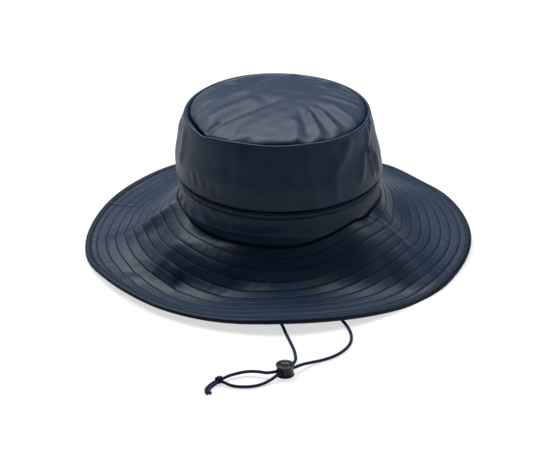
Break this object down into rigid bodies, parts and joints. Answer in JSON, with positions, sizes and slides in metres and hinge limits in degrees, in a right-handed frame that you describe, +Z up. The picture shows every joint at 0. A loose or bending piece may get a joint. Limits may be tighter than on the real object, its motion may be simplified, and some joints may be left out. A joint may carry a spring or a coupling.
{
  "type": "rain hat",
  "caption": "Rain hat of coated cloth: round soft crown, band, wide stitched brim with a bound edge, and a chin cord with a sliding lock.",
  "frame": {"origin": "under the middle of the brim's outline, on the surface that the brim rests on, chin cord left out", "axes": "+Z up through the crown, -Y to the front of the hat, +X to its right side seam as seen from the front"},
  "size_m": [0.3505, 0.4619, 0.1473],
  "materials": {
    "coated_cloth": "dark navy polyester with a satin polyurethane coating",
    "edge_binding": "the same coated cloth folded over the edge and topstitched",
    "chin_cord": "dark navy braided polyester, matt",
    "lock_plastic": "moulded dark navy plastic, satin"
  },
  "bodies": {
    "hat": {"crown_tip": "coated_cloth", "crown_side": "coated_cloth", "hat_band": "coated_cloth", "brim": "coated_cloth", "brim_binding": "edge_binding", "cord_tab_left": "coated_cloth", "cord_tab_right": "coated_cloth", "cord_left": "chin_cord", "cord_right": "chin_cord", "cord_knot": "chin_cord", "lock_body": "lock_plastic"},
    "button": {"lock_button": "lock_plastic"}
  },
  "joints": [
    {"name": "lock_button_press", "type": "slide", "parent": "hat", "child": "button", "axis": [0, 0, -1], "range_m": [0, 0.0013], "stiffness_N_per_m": 300, "springref_m": -0.001}
  ]
}
